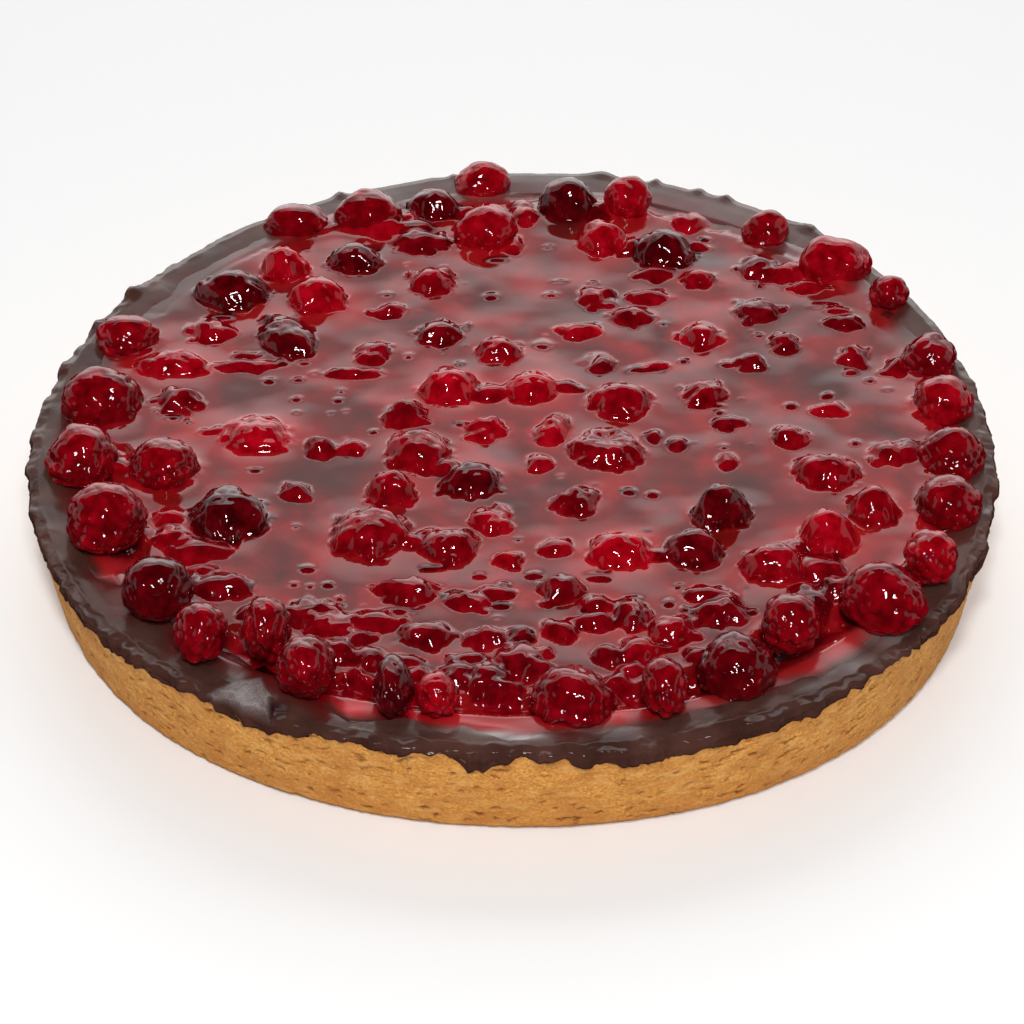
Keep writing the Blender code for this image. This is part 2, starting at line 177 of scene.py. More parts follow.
# Berries that barely break the jelly: x, y, half width, half length, rise
SUNKEN = (
    (3, 105, 5, 8, 5), (-27, 91, 9, 6, 4), (-39, 99, 7, 6, 4), (52, 102, 6, 6, 5), (-24, 70, 7, 7, 5.5),
    (71, 76, 6, 7, 5), (-85, 46, 7, 6, 3.5), (-39, 35, 6, 6, 3), (-45, 25, 11, 3, 2), (-21, 44, 7, 6, 5),
    (-4, 35, 7, 7, 5), (18, 45, 7, 4, 3), (33, 52, 7, 5, 3), (22, 62, 4, 6, 3), (38, 62, 6, 4, 2.5),
    (52, 42, 6, 6, 5), (68, 54, 7, 6, 3.5), (75, 38, 5, 5, 3.5), (93, 48, 6, 4, 3), (94, 32, 5, 5, 3),
    (65, 29, 5, 5, 3), (51, 14, 7, 6, 4.5), (-92, 13, 7, 6, 4), (-30, 5, 7, 6.5, 4.5), (10, -3, 5, 7, 5),
    (-52, -9, 5, 5, 4), (-43, -9, 4, 4, 3), (-8, -1, 6.5, 5, 4), (6, -17, 4, 4.5, 4), (73, -6, 6, 5.5, 4),
    (98, -14, 6, 5.5, 3.5), (16, -33, 6.5, 6, 4), (-7, -42, 6, 6, 5), (57, 1, 6, 3, 2), (85, 7, 6, 3, 2.5),
    (56, -16, 4, 4, 2), (-57, -28, 4.5, 4.5, 3), (-72, -67, 7, 5, 3.5), (-27, -69, 9, 5.5, 3.5),
    (-44, -83, 10, 7, 3), (11, -69, 6, 6, 4.5), (11, -85, 6, 4.5, 4), (28, -79, 5.5, 7, 5),
    (38, -86, 6.5, 6.5, 5), (-22, -86, 8, 5.5, 4), (-7, -87, 6.5, 4.5, 3.5), (-7, -103, 7, 6.5, 5),
    (50, -78, 9, 6, 3.5), (22, -94, 4.5, 5, 4.5), (74, -75, 6, 6, 3.5), (-85, -50, 5, 4, 4),
    (-12, -73, 8, 4, 2), (-2, -57, 4, 4, 4), (10, -52, 5, 5, 2.5), (-82, -82, 6, 5, 3),
    (-68, -98, 4, 4, 2.5), (-62, -78, 8, 6, 3), (-45, -92, 7, 6, 3.5), (-39, -104, 5, 7, 5),
    (-36, -95, 6, 5, 4), (-4, -108, 6, 6, 4), (4, -99, 5, 5, 3.5), (24, -106, 5, 6, 4), (43, -104, 4, 6, 4),
    (44, -95, 5, 4, 3.5), (62, -100, 4, 5, 2.5), (76, -86, 5, 5, 3), (80, -70, 6, 6, 4),
    (-98, -62, 4, 6, 2.5), (-14, -101, 5, 6, 3.5), (-25, -102, 5, 5, 3), (-27, -97, 7, 4, 3),
    (-12, -96, 7, 4, 3), (-51, -78, 9, 7, 3.5), (48, -72, 9, 4, 3), (2, 110, 5, 4, 4), (-88, -47, 6, 6, 3),
    (19, -82, 6, 4.5, 3.5), (53, 71, 5.5, 4.6, 3.5), (104, -13, 5, 6, 3), (72, -71, 5, 5, 3),
    (-89, -39, 5, 5, 3), (-6, -70, 7, 3, 2), (20, -75, 5, 4, 3), (-79, -61, 5, 3.6, 2.5),
    (-42, -41, 6, 4, 3), (1, -87, 4, 4.5, 3), (23, -5, 4, 4.5, 3), (-64, 48, 5.5, 3.6, 2.5),
    (12, 1, 4, 5, 3), (24, 29, 4, 4, 2.5), (-39, -87, 5, 3.5, 2.5), (-35, 56, 4.8, 4, 2.5),
    (78, 73, 5.5, 5, 3.5), (-78, -1, 7, 2.4, 1.5), (27, -100, 3.5, 3.5, 3), (37, -5, 3, 3, 2),
    (91, 54, 5, 2, 1.5), (43, -8, 4, 4, 2), (-22, -46, 5.4, 2.6, 2), (-75, 34, 4, 2.4, 2),
    (39, 28, 5, 2, 1.4), (-4, -38, 4, 4, 2), (105, 26, 4, 5, 3), (-14, 107, 5, 4, 3),
    (-31, 104, 3.5, 3.5, 3), (0, 90, 3, 5, 2.5), (26, 64, 3.2, 3, 2),
)

# Necks of glaze between neighbouring berries and tails that run off them: x, y, half width, half length, rise
NECKS = (
    (-7, 15, 6, 3.6, 2.6), (13.5, 17.5, 5, 3, 2.2), (-26.5, -49.5, 4, 3.2, 2.2), (35.5, -56, 4.5, 2.4, 2),
    (-18.5, -19, 4, 4, 3), (-29, 98, 6, 6, 3), (24, 106, 5, 5, 4), (35, 87, 5, 4, 3.5),
    (-76, 29, 9, 2.6, 2), (-80, -52, 8, 4.5, 2.4), (-76, -67, 6, 5, 3), (41, 74, 6, 3, 2.2),
    (84, 66, 5, 3, 2.5), (53, 88, 4, 2, 2), (-35, -81, 7, 4, 2.6), (76, -62, 6, 6, 3.5),
    (71, -54, 4, 4, 2.5), (29, -93, 5, 5, 3.5), (1, -96, 6, 6, 3.5),
)
# Shallow pools of brighter glaze: x, y, half width, half length, how bright
POOLS = (
    (-39.5, -113.5, 5.5, 4.5, 0.9), (-13, -117.2, 6, 2.4, 0.50), (-6, -119.4, 6, 2, 0.50),
    (1, -121.5, 5, 1.5, 0.3), (79, -93, 7, 7, 0.5), (86, -86, 5, 5, 0.4), (73, -100, 6, 4, 0.4),
    (-101, -56, 4, 7, 0.8), (-104, -63.5, 3.5, 4, 0.6), (47, -113.5, 5, 2.5, 0.7), (-58, 106, 5, 3, 0.5),
    (24, -114.5, 2.6, 5, 0.6),
)
# Painted sheen, a pale reflection painted into the colour of the chocolate and of the film over it: x, y, half
# width, half length, strength
PAINTED_SHEENS = (
    (-5.5, -122.3, 5, 1.5, 0.7), (1.5, -123.8, 5, 1.3, 0.9), (-15, -121, 7, 1.6, 0.25),
    (22, -121.5, 8, 2, 0.15), (90, -88, 5, 5, 0.25), (82, -97, 6, 4, 0.30), (70, -105, 6, 3, 0.15),
)
PAINTED_SHEEN_COLOUR = (0.42, 0.37, 0.365)
# Where the bed shows through darker: x, y, radius
SHADES = (
    (-75, 17, 10), (-50, -20, 12), (20, 52, 12), (14, 98, 9), (78, 86, 10), (-91, 79, 14), (-104, 62, 14),
    (0, -35, 9), (-81, 66, 9), (85, 20, 12), (60, -25, 9), (-62, 62, 6), (52, 84, 9),
)

# Beads, scraps and threads of glaze on the flat jelly: x, y, half width, half length
SCRAPS = (
    (-60, 88, 1.5, 1), (-83, 53, 5, 1.5), (-66, 64, 1, 0.8), (-76, 27, 3, 1), (-68, 22, 2, 1.5),
    (-71, 35, 3, 1.3), (-58, 31, 2, 1), (-60, 23.5, 1.5, 0.8), (-60, 14, 1.5, 1), (-60, 8, 1.5, 1.2),
    (-48, 13, 1.5, 1), (-48, 17, 1.4, 1), (-92, 5, 2.6, 1), (-83, -1, 1.2, 1), (-88, 3, 1, 0.8),
    (-69, -19, 3, 0.9), (-50, 7, 0.8, 0.6), (-46, 7, 0.7, 0.6), (-36, 64, 2.5, 1.6), (-6.5, 63, 2.4, 1.8),
    (-36, 55, 4.5, 3), (-5, 83, 3.5, 1.5), (11, 63, 3, 1.4), (27, 60, 2, 3), (31, 103, 4, 3),
    (23, 49, 1.5, 1), (42, 49, 2, 1), (10, 89, 2.5, 1.5), (12, 70, 4, 1), (22, 70, 2, 0.8),
    (54, 70, 6, 2.4), (87, 56, 6.5, 2), (87, 65, 2, 1.3), (106, 53, 2, 1.5), (56, 92, 1.5, 1),
    (79, 68, 1.5, 1), (22, 30, 4, 5), (36, 27, 6, 1.6), (8, 38, 3.5, 2.4), (37, -5, 2.5, 2.6),
    (43, -8, 1.6, 1), (30, -29, 2, 1.6), (36, -30, 1.5, 1), (12, -22, 1, 0.8), (21, -26, 1, 0.8),
    (-29, 33, 1.5, 1.6), (-16, 30, 1.5, 1), (-35, 39, 2, 1.2), (-38, -2, 1.5, 1), (-15, 1, 2.6, 0.6),
    (59, 28, 2, 1.4), (92, 24, 2, 1), (97, 20, 1.6, 1), (102, 16, 2, 1), (85, 14.5, 1.5, 1),
    (74, 9, 1.3, 1), (55, 9, 1.3, 1), (55, 5.7, 1.1, 0.9), (55, -10, 1.5, 1.6), (63, -9, 1, 0.8),
    (69, 42, 1, 0.8), (46, 30, 1, 0.8), (91, -7.5, 1.1, 0.9), (95, -9, 1.1, 0.9), (102, 24, 2, 1.2),
    (-57, -42.5, 1.2, 1), (-52, -59, 2, 1.4), (-55, -65, 1.4, 0.8), (-52, -66.5, 1.2, 0.8),
    (-48, -66, 1.3, 0.8), (-44, -72, 0.8, 0.7), (1, -49, 1.4, 1), (34, -46, 2.5, 1.4), (4, -62.5, 2, 1.2),
    (22, -64, 4.5, 2.4), (40, -67.5, 1.6, 1.2), (38.5, -74, 1.5, 1.8), (-15, -70, 4, 1.6),
    (-4, -74, 3, 1.4), (-20, -59, 5, 0.8), (-10, -62, 1.6, 0.8), (-3, -66, 1.4, 1.2), (-8, -76, 1.6, 1),
    (-4, -79, 1.2, 0.8), (28, -72, 3, 0.9), (18, -77, 3.4, 1.2), (-3, -85, 1.4, 1), (-30, -77, 5, 1.2),
    (75, -63, 1, 0.8), (77.5, -63, 0.9, 0.7), (57, -69.5, 1, 0.8), (77, -92, 3, 2),
)

# Helpers

def unit(value):
    """The value kept between 0 and 1."""
    return np.clip(value, 0, 1)

def toward(angle, slope, start, left=0):
    """Share from 0 to 1 that grows toward the far side, or toward the front if the slope is negative."""
    return unit(slope * np.sin(angle) - start + left * np.minimum(np.cos(angle), 0))

def even_angles(count):
    """Angles spread evenly round the tart."""
    return np.arange(count) * math.tau / count

def on_ring(angles, radius, height):
    """Points at each angle; radius and height are numbers or one value for each."""
    return np.stack((radius * np.cos(angles), radius * np.sin(angles), height + 0 * angles), 1)

def soft_spot(x, y, place):
    """1 at the middle of a place and fading round it: its x, y, half width and half length."""
    middle_x, middle_y, width, length = place
    return np.exp(-((x - middle_x) / width) ** 2 - ((y - middle_y) / length) ** 2)

def out_of_round(angle):
    """Share of the radius at an angle, because the shell is not a perfect circle."""
    return 1 + sum(c * np.cos(n * angle) + s * np.sin(n * angle) for n, c, s in OUT_OF_ROUND)

def middle_of_outline():
    """Middle of the rim's outline. The solids have it on the frame's origin."""
    angles = np.radians(np.arange(0, 360, 5))
    outline = on_ring(angles, RIM_RADIUS * out_of_round(angles), 0)
    return Vector((outline.min(axis=0) + outline.max(axis=0)) / 2)

SHIFT = -middle_of_outline()

def ripple(points, size):
    """Smooth noise from -1 to 1 at each row of points, with bumps of about the given size."""
    return np.array([noise.noise(Vector(point) / size) for point in points])

def uneven(points, layers):
    """Sum of layers of noise at each row of points."""
    return sum(height * ripple(points + shift, size) for height, size, shift in layers)

def smooth_max(a, b, blend):
    """The larger of two heights, with a fillet where they meet."""
    share = unit(0.5 + (a - b) / (2 * blend))
    return b + (a - b) * share + blend * share * (1 - share)

def mesh_object(name, points, faces, material, looks):
    """Object from millimetre points, moved onto the frame, with smooth faces and point attributes."""
    mesh = bpy.data.meshes.new(name)
    placed = (np.asarray(points) + np.array(SHIFT)) * MM
    mesh.from_pydata(placed.tolist(), [], faces)
    mesh.materials.append(material)
    for label, values in looks.items():
        layer = mesh.attributes.new(label, "FLOAT", "POINT")
        layer.data.foreach_set("value", np.asarray(values, np.float32))
    mesh.shade_smooth()
    mesh.validate()
    obj = bpy.data.objects.new(name, mesh)
    bpy.context.scene.collection.objects.link(obj)
    return obj

# Materials

class Shader:
    """A material's node tree, built up by short calls."""

    def __init__(self, name, roughness, ior):
        self.material = bpy.data.materials.new(name)
        self.material.use_nodes = True
        self.tree = self.material.node_tree
        self.surface = self.tree.nodes["Principled BSDF"]
        self.surface.inputs["Roughness"].default_value = roughness
        self.surface.inputs["IOR"].default_value = ior
        self.place = self.tree.nodes.new("ShaderNodeTexCoord").outputs["Object"]

    def link(self, source, target):
        self.tree.links.new(source, target)

    def feed(self, label, source):
        """Link a source to one of the surface's sockets."""
        self.link(source, self.surface.inputs[label])

    def noise(self, scale, detail=2, stretch=(1, 1, 1)):
        """Noise in 0 to 1 with features of about 1 / scale metres."""
        mapping = self.tree.nodes.new("ShaderNodeMapping")
        mapping.inputs["Scale"].default_value = stretch
        texture = self.tree.nodes.new("ShaderNodeTexNoise")
        texture.inputs["Scale"].default_value = scale
        texture.inputs["Detail"].default_value = detail
        self.link(self.place, mapping.inputs["Vector"])
        self.link(mapping.outputs["Vector"], texture.inputs["Vector"])
        return texture.outputs["Fac"]

    def attribute(self, name):
        node = self.tree.nodes.new("ShaderNodeAttribute")
        node.attribute_name = name
        return node.outputs["Fac"]

    def ramp(self, source, stops):
        """Colour read from position and colour stops."""
        node = self.tree.nodes.new("ShaderNodeValToRGB")
        set_stops(node, stops)
        self.link(source, node.inputs["Fac"])
        return node.outputs["Color"]

    def mix(self, share, first, second):
        """Colour between two colours, each a socket or a plain colour."""
        node = self.tree.nodes.new("ShaderNodeMix")
        node.data_type = "RGBA"
        for label, value in (("A", first), ("B", second)):
            socket = next(s for s in node.inputs if s.name == label and s.type == "RGBA")
            if isinstance(value, tuple):
                socket.default_value = (*value, 1)
            else:
                self.link(value, socket)
        self.link(share, node.inputs["Factor"])
        return next(s for s in node.outputs if s.type == "RGBA")

    def spread(self, source, low, high, to_low=0, to_high=1):
        """Map a value from one range to another, and clamp it."""
        node = self.tree.nodes.new("ShaderNodeMapRange")
        for label, value in (("From Min", low), ("From Max", high), ("To Min", to_low), ("To Max", to_high)):
            node.inputs[label].default_value = value
        self.link(source, node.inputs["Value"])
        return node.outputs["Result"]

    def layers(self, colour, rows):
        """Colours laid over one another where an attribute says: its name, its range, largest share, colour."""
        for name, low, high, most, over in rows:
            colour = self.mix(self.spread(self.attribute(name), low, high, 0, most), colour, over)
        return colour

    def bump(self, source, strength, distance):
        node = self.tree.nodes.new("ShaderNodeBump")
        node.inputs["Strength"].default_value = strength
        node.inputs["Distance"].default_value = distance
        self.link(source, node.inputs["Height"])
        self.feed("Normal", node.outputs["Normal"])

def set_stops(node, stops):
    """Give a colour ramp its positions and colours."""
    elements = node.color_ramp.elements
    while len(elements) < len(stops):
        elements.new(0.5)
    for element, (position, colour) in zip(elements, stops):
        element.position = position
        element.color = (*colour, 1)

def flesh(shader):
    """Raspberry red, patchy, from dark to bright by the tone of each berry."""
    patches = shader.noise(260, 3)
    bright = shader.ramp(
        patches, ((0.3, (0.19, 0.0004, 0.003)), (0.5, (0.33, 0.0008, 0.006)), (0.7, (0.46, 0.003, 0.012))),
    )
    dark = shader.ramp(
        patches, ((0.3, (0.030, 0.0004, 0.0015)), (0.5, (0.065, 0.0006, 0.002)), (0.7, (0.13, 0.001, 0.004))),
    )
    return shader.mix(shader.attribute("tone"), dark, bright)

def jelly_material():
    """Wet red glaze with dark clouds, redder near the berries, and a pale painted sheen in places."""
    shader = Shader("red_jelly_glaze", 0.05, 1.42)
    clouds = shader.ramp(
        shader.noise(65, 5),
        ((0.34, (0.080, 0.004, 0.003)), (0.50, (0.150, 0.004, 0.004)), (0.66, (0.30, 0.007, 0.008))),
    )
    shader.feed("Base Color", shader.layers(clouds, (
        ("near", 0.15, 0.95, 0.85, (0.37, 0.008, 0.010)),
        ("shade", 0, 1, 0.75, (0.040, 0.010, 0.008)),
        ("film", 0.60, 1, 1, (0.060, 0.016, 0.011)),
        ("lump", 0, 0.6, 1, flesh(shader)),
        ("pool", 0.1, 1, 0.9, (0.55, 0.022, 0.030)),
        # Painted sheen: a pale reflection painted into the jelly's colour
        ("painted_sheen", 0, 1, 1, PAINTED_SHEEN_COLOUR),
    )))
    shader.feed("Roughness", shader.spread(shader.attribute("film"), 0.2, 1, 0.05, 0.30))
    return shader.material

def berry_material():
    """Raspberry flesh under glaze; its crevices are painted darker, as painted shade."""
    shader = Shader("glazed_raspberry", 0.05, 1.42)
    shader.feed("Base Color", shader.layers(flesh(shader), (
        ("bead", 0, 1, 0.40, (0.075, 0.0004, 0.002)),
        # Painted shade in the crevices between drupelets
        ("shaded_hollow", 0, 1, 0.50, (0.030, 0.0003, 0.0012)),
    )))
    return shader.material

def chocolate_material():
    """Set dark chocolate with a satin gloss, reddened where the jelly's film covers it; a sheen, a highlight on
    the fold and shade in the hollow beside it are painted into its colour, and it has a dark line along its
    lower edge.
    """
    shader = Shader("glossy_dark_chocolate", 0.2, 1.28)
    tone = shader.ramp(
        shader.noise(90, 4), ((0.3, (0.042, 0.016, 0.012)), (0.7, (0.088, 0.036, 0.027))),
    )
    # Grainy pale grey laid over the fold: a painted highlight
    grainy = shader.spread(shader.noise(1800, 2), 0.3, 0.7, 0.3, 1)
    painted_fold_highlight = shader.mix(grainy, (0.070, 0.048, 0.046), (0.25, 0.205, 0.20))
    shader.feed("Base Color", shader.layers(tone, (
        ("film", 0, 1, 1, (0.095, 0.008, 0.007)),
        ("painted_fold_highlight", 0, 1, 0.9, painted_fold_highlight),
        # Painted sheen: a pale reflection painted into the chocolate's colour
        ("painted_sheen", 0, 1, 1, PAINTED_SHEEN_COLOUR),
        # Dark line along the lower edge, and painted shade in the hollow beside the fold
        ("edge_line_and_hollow_shade", 0, 1, 1, (0.022, 0.003, 0.008)),
    )))
    satin = shader.ramp(shader.noise(70, 3), ((0.35, (0.14, 0.14, 0.14)), (0.65, (0.30, 0.30, 0.30))))
    shader.feed("Roughness", shader.layers(satin, (("lip", 0, 1, 1, (0.10, 0.10, 0.10)),)))
    shader.bump(shader.noise(900, 3), 0.12, 0.0002)
    return shader.material

def crust_material():
    """Golden shortcrust, darker toward the foot, with paler patches and with pits and cracks painted darker as
    painted shade.
    """
    shader = Shader("baked_shortcrust", 0.75, 1.4)
    grain = shader.ramp(
        shader.noise(1300, 4, (1, 1, 1.2)),
        ((0.32, (0.51, 0.190, 0.028)), (0.50, (0.67, 0.290, 0.053)), (0.68, (0.81, 0.415, 0.098))),
    )
    bake = shader.spread(shader.noise(110, 6, (1, 1, 1.6)), 0.40, 0.70, 0, 0.65)
    baked = shader.mix(bake, grain, (0.50, 0.180, 0.030))
    pale = shader.spread(shader.noise(190, 3, (1, 1, 1.4)), 0.52, 0.72, 0, 0.5)
    shader.feed("Base Color", shader.layers(shader.mix(pale, baked, (0.84, 0.47, 0.14)), (
        # Darker toward the foot
        ("foot", 0, 1, 0.45, (0.50, 0.185, 0.030)),
        # Pits and cracks painted darker: painted shade in the recesses
        ("shaded_pit", 0.05, 0.8, 0.85, (0.24, 0.066, 0.010)),
    )))
    shader.bump(shader.noise(1300, 4, (1, 1, 1.2)), 0.5, 0.0005)
    return shader.material

# Pieces

class Berry:
    """One raspberry, placed and sized from its solid; lengths in millimetres."""

    def __init__(self, number, draw):
        low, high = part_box(f"berry_{number:02d}")
        low, high = low / MM - SHIFT, high / MM - SHIFT
        self.number = number
        self.x, self.y = (low.x + high.x) / 2, (low.y + high.y) / 2
        boxed = (0, (high.x - low.x) / 2, (high.y - low.y) / 2)
        turn, self.width, self.length = TURNED.get(number, boxed)
        self.turn = math.radians(turn)
        self.top, self.foot = high.z, low.z
        self.rise = high.z - JELLY_LEVEL
        self.tone = BRIGHT_TONE if number in BRIGHT else DARK_TONE if number in DARK else PLAIN_TONE
        self.tone += draw.uniform(-0.1, 0.1)
        self.low = number in LOW
        self.middle = JELLY_LEVEL + max(0.06 * self.rise, self.rise - (self.width + self.length) / 2)
        self.waist = 1.0 if self.low else 0.9
        self.calm = 0.45 if self.y > FAR_Y else 0.8 if self.y > 0 else 1.0
        reach = int(max(self.width, self.length) / DRUPELET) + 1
        self.drupelets = [
            (
                DRUPELET * (column + 0.5 * (row % 2)) + draw.uniform(-0.7, 0.7),
                0.87 * DRUPELET * row + draw.uniform(-0.7, 0.7),
            )
            for row in range(-reach, reach + 1) for column in range(-reach, reach + 1)
        ]

    def local(self, x, y):
        """Place measured from the berry's middle, along its own width and length."""
        across, along = x - self.x, y - self.y
        c, s = math.cos(self.turn), math.sin(self.turn)
        return across * c + along * s, along * c - across * s

    def ring(self, x, y):
        """0 at the berry's middle and 1 on its outline."""
        across, along = self.local(x, y)
        return np.hypot(across / self.width, along / self.length)

    def dome(self, x, y):
        """Height of a low berry's glazed top over the jelly's level; it drops away outside."""
        across, along = self.local(x, y)
        spots = np.stack((x, y, 0 * x + 3.7 * self.number), 1)
        ring = self.ring(x, y) * (1 + uneven(spots, DOME_OUTLINE_NOISE))
        beads = np.zeros_like(ring)
        for dx, dy in self.drupelets:
            beads = np.maximum(beads, 1 - ((across - dx) ** 2 + (along - dy) ** 2) / (0.66 * DRUPELET) ** 2)
        inner = unit(ring)
        height = (self.rise - DOME_RELIEF) * (1 - inner ** 2.3) ** 0.8 - 12 * np.clip(ring - 1, 0, None)
        height += DOME_RELIEF * (1 - inner ** 3) * smooth_max(beads, 0.3, 0.4) + uneven(spots, DOME_NOISE)
        if self.number in TORN:
            folds = np.cos(9 * np.arctan2(along / self.length, across / self.width) + 2 * ring)
            height -= 0.32 * self.rise * soft_spot(across, along, TEAR)
            height += 0.10 * folds * np.exp(-((ring - 0.4) / 0.2) ** 2) * (along > -1)
        return height

def lump_list(berries, draw):
    """Glaze over sunken berries, round low ones and on the flat: place, half widths, rise, fall, tone."""
    lumps = []

    def add(x, y, width, length, rise, tone):
        lumps.append((x, y, width, length, rise, rise + 0.3, tone))

    for x, y, width, length, rise in SUNKEN:
        tone = draw.uniform(0.2, 0.9) * (0.6 if y < NEAR_Y else 1)
        small = min(width, length)
        rise = min(0.9 * rise, LUMP_SLOPE * small)
        share = 1.05 if y > 40 else 0.9
        add(x, y, share * width, share * length, rise, tone)
        for _ in range(round(width * length / 7)):
            angle = draw.uniform(0, math.tau)
            out = math.sqrt(draw.uniform(0.05, 0.75))
            size = draw.uniform(0.28, 0.45) * small + 0.4
            height = rise * (1 - 0.9 * out ** 2) + draw.uniform(0.15, 0.35) * size
            spot = (x + 0.8 * out * width * math.cos(angle), y + 0.8 * out * length * math.sin(angle))
            lumps.append((*spot, size, size, height, 0.8 * size, tone))
    for berry in berries:
        for _ in range(4 if berry.low else 0):
            angle = draw.uniform(0, math.tau)
            size = draw.uniform(1.4, 2.6)
            spot = (berry.x + berry.width * math.cos(angle), berry.y + berry.length * math.sin(angle))
            add(*spot, size, size, draw.uniform(0.4, 1), berry.tone)
    for x, y, width, length, rise in NECKS:
        add(x, y, 1.15 * width, 1.15 * length, rise, draw.uniform(0.15, 0.6))
    for x, y, width, length in SCRAPS:
        x, y = x + draw.uniform(-0.8, 0.8), y + draw.uniform(-0.8, 0.8)
        rise = 0.40 * min(length + 0.5, 1.6)
        add(x, y, width + 0.5, length + 0.5, rise, draw.uniform(0, 0.45))
    return lumps

def coat_height(radius, angle):
    """Height of the chocolate's inner slope and rim: level at the far side, fuller in front."""
    radii = (0, BED_RADIUS, BANK_RADIUS, SHOULDER_RADIUS, CREST_RADIUS)
    top = RIM_HEIGHT + COAT_THICKNESS
    plain = np.interp(radius, radii, (BED_HEIGHT, BED_HEIGHT, BANK_HEIGHT, SHOULDER_HEIGHT, top))
    full = np.interp(radius, radii, (0, 0, 0.9, 0, 0))
    level = np.interp(radius, radii, (0, 0, 1.5, 0.55, -0.5))
    return plain + level * toward(angle, 1.8, 0.3, 0.2) + full * toward(angle, -1.6, 0.3)

def painted_sheen_at(x, y):
    """Strength of the painted sheen at each place, from 0 to 1: a pale reflection painted into the colour, with
    a faint band toward the far side.
    """
    radius, angle = np.hypot(x, y), np.arctan2(y, x)
    # A faint painted sheen toward the far rim
    painted_sheen = 0.13 * toward(angle, 2.4, 1, 0.8) * unit((radius - 112) / 7)
    for *place, strength in PAINTED_SHEENS:
        painted_sheen = np.maximum(painted_sheen, strength * soft_spot(x, y, place))
    return painted_sheen

def jelly_edges(x, y):
    """Radii where the jelly's full depth ends and where its film ends, uneven and then plain."""
    angle = np.arctan2(y, x)
    turned = np.degrees(angle) % 360
    brink = np.interp(turned, *zip(*BRINK)) + uneven(np.stack((x, y, 0 * x + 9), 1), BRINK_NOISE)
    shore = np.interp(turned, *zip(*SHORE))
    edge = shore + (1.2 + 1.6 * toward(angle, 2, 0)) * uneven(on_ring(angle, 3, 5), SHORE_NOISE)
    edge = np.maximum(edge, brink + 1)
    back = toward(angle, 2, 0.4)
    return brink, np.where(back > 0, np.minimum(edge + 3 * back, SHORE_LIMIT), edge), shore

